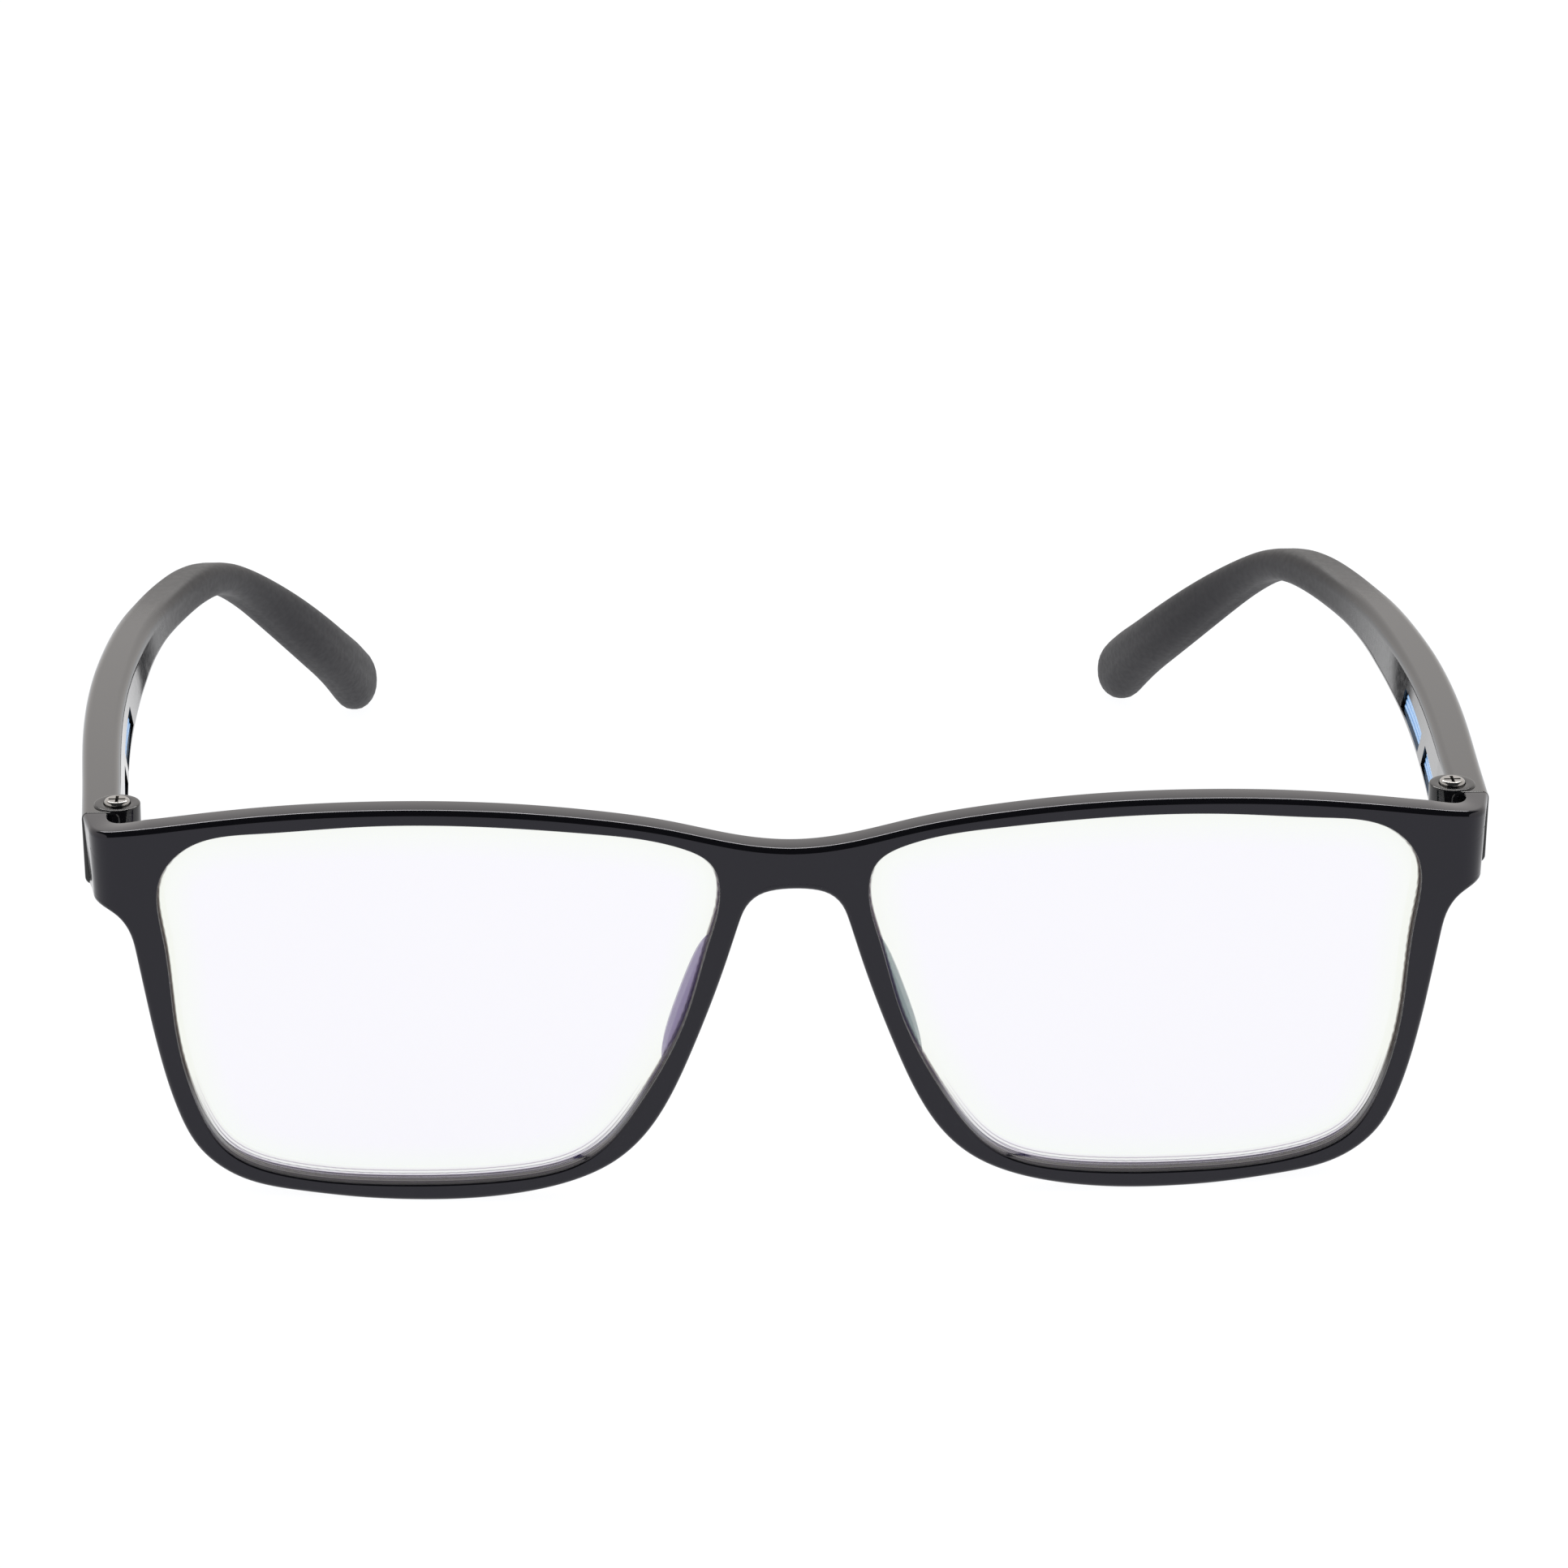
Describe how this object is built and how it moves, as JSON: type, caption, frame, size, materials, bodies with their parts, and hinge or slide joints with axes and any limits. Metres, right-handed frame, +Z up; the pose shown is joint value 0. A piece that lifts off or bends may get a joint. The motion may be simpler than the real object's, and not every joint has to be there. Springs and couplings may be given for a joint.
{
  "type": "blue light glasses",
  "caption": "Rectangular full-rim glasses with clear flat-power lenses and two temples that fold on screwed three-knuckle hinges.",
  "frame": {"origin": "under the middle of the open glasses' bounding box, on the table they stand on", "axes": "+X to the wearer's left, +Y from the front back towards the ears, +Z up"},
  "size_m": [0.147, 0.1474, 0.0427],
  "materials": {
    "front_black": "polished",
    "temple_black": "polished, satin on top and at the ears",
    "lens_clear": "clear, anti-reflection coated",
    "pad_smoke": "polished",
    "inlay_blue": "ribbed",
    "screw_steel": "bright",
    "nut_brass": "plain"
  },
  "bodies": {
    "front": {"front_frame": "front_black", "lens_left": "lens_clear", "lens_right": "lens_clear", "nose_pad_left": "pad_smoke", "nose_pad_right": "pad_smoke"},
    "temple_left": {"temple_left": "temple_black", "inlay_front_left": "inlay_blue", "inlay_rear_left": "inlay_blue", "hinge_screw_left": "screw_steel", "hinge_nut_left": "nut_brass"},
    "temple_right": {"temple_right": "temple_black", "inlay_front_right": "inlay_blue", "inlay_rear_right": "inlay_blue", "hinge_screw_right": "screw_steel", "hinge_nut_right": "nut_brass"}
  },
  "joints": [
    {"name": "temple_left_fold", "type": "hinge", "parent": "front", "child": "temple_left", "pos_m": [0.0678, -0.05973, 0.035], "axis": [0, 0, 1], "range_deg": [0, 80]},
    {"name": "temple_right_fold", "type": "hinge", "parent": "front", "child": "temple_right", "pos_m": [-0.0678, -0.05973, 0.035], "axis": [0, 0, -1], "range_deg": [0, 72]}
  ]
}
